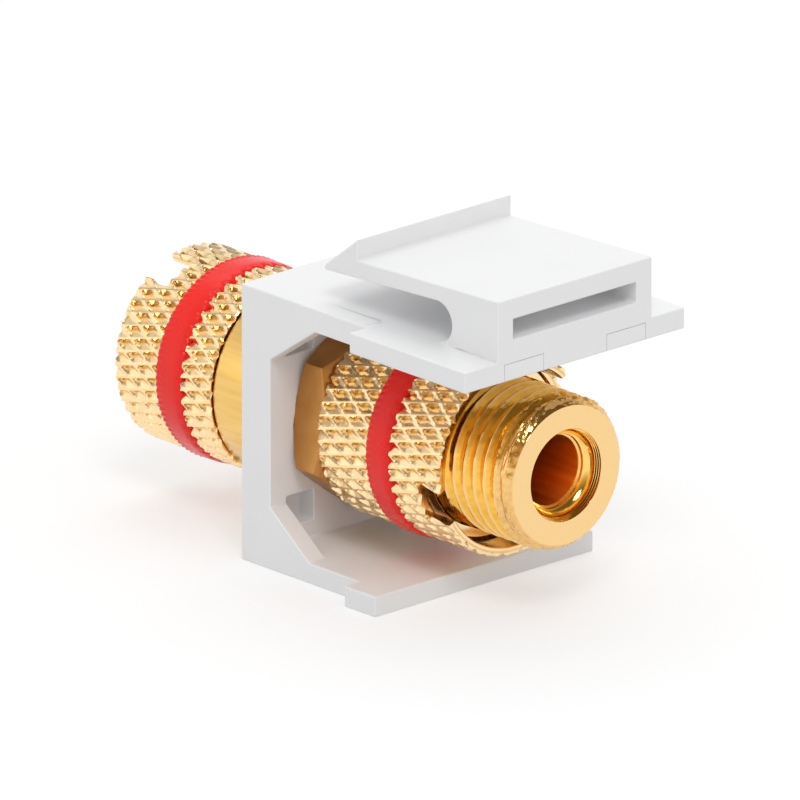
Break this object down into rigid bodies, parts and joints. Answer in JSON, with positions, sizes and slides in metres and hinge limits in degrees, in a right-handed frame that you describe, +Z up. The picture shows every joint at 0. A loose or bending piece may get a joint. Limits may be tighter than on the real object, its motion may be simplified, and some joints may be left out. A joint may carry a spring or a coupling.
{
  "type": "binding post",
  "caption": "Snap-in wall-plate insert carrying a gold-plated double-ended binding post with plug sockets, knurled clamp knobs and red colour rings.",
  "frame": {"origin": "on the post's axis, in the front face of the moulded insert", "axes": "+Y along the post's axis to the rear, behind the wall; -Y points to the user; +Z up, towards the latch"},
  "size_m": [0.0168, 0.0323, 0.021],
  "materials": {
    "white_plastic": "smooth glossy white moulding",
    "gold_plate": "bright gold plating on brass",
    "dull_gold_plate": "duller gold plating on brass",
    "red_plastic": "glossy, slightly translucent red"
  },
  "bodies": {
    "insert": {"keystone_housing": "white_plastic", "post_stud": "gold_plate", "panel_nut": "dull_gold_plate"},
    "rear_ring": {"rear_colour_ring": "red_plastic"},
    "rear_knob": {"rear_clamp_knob": "gold_plate"},
    "front_ring": {"front_colour_ring": "red_plastic"},
    "front_knob": {"front_clamp_knob": "gold_plate"}
  },
  "joints": [
    {"name": "rear_knob_travel", "type": "slide", "parent": "insert", "child": "rear_ring", "axis": [0, 1, 0], "range_m": [0, 0.00425]},
    {"name": "rear_knob_turn", "type": "hinge", "parent": "rear_ring", "child": "rear_knob", "pos_m": [0, 0.0098, 0], "axis": [0, 1, 0], "range_deg": [0, 1800]},
    {"name": "front_knob_travel", "type": "slide", "parent": "insert", "child": "front_ring", "axis": [0, -1, 0], "range_m": [0, 0.00425]},
    {"name": "front_knob_turn", "type": "hinge", "parent": "front_ring", "child": "front_knob", "pos_m": [0, -0.0082, 0], "axis": [0, -1, 0], "range_deg": [0, 1800]}
  ],
  "couplings": [
    {"joint": "rear_knob_turn", "follows": "rear_knob_travel", "rad_per_m": 7392},
    {"joint": "front_knob_turn", "follows": "front_knob_travel", "rad_per_m": 7392}
  ]
}
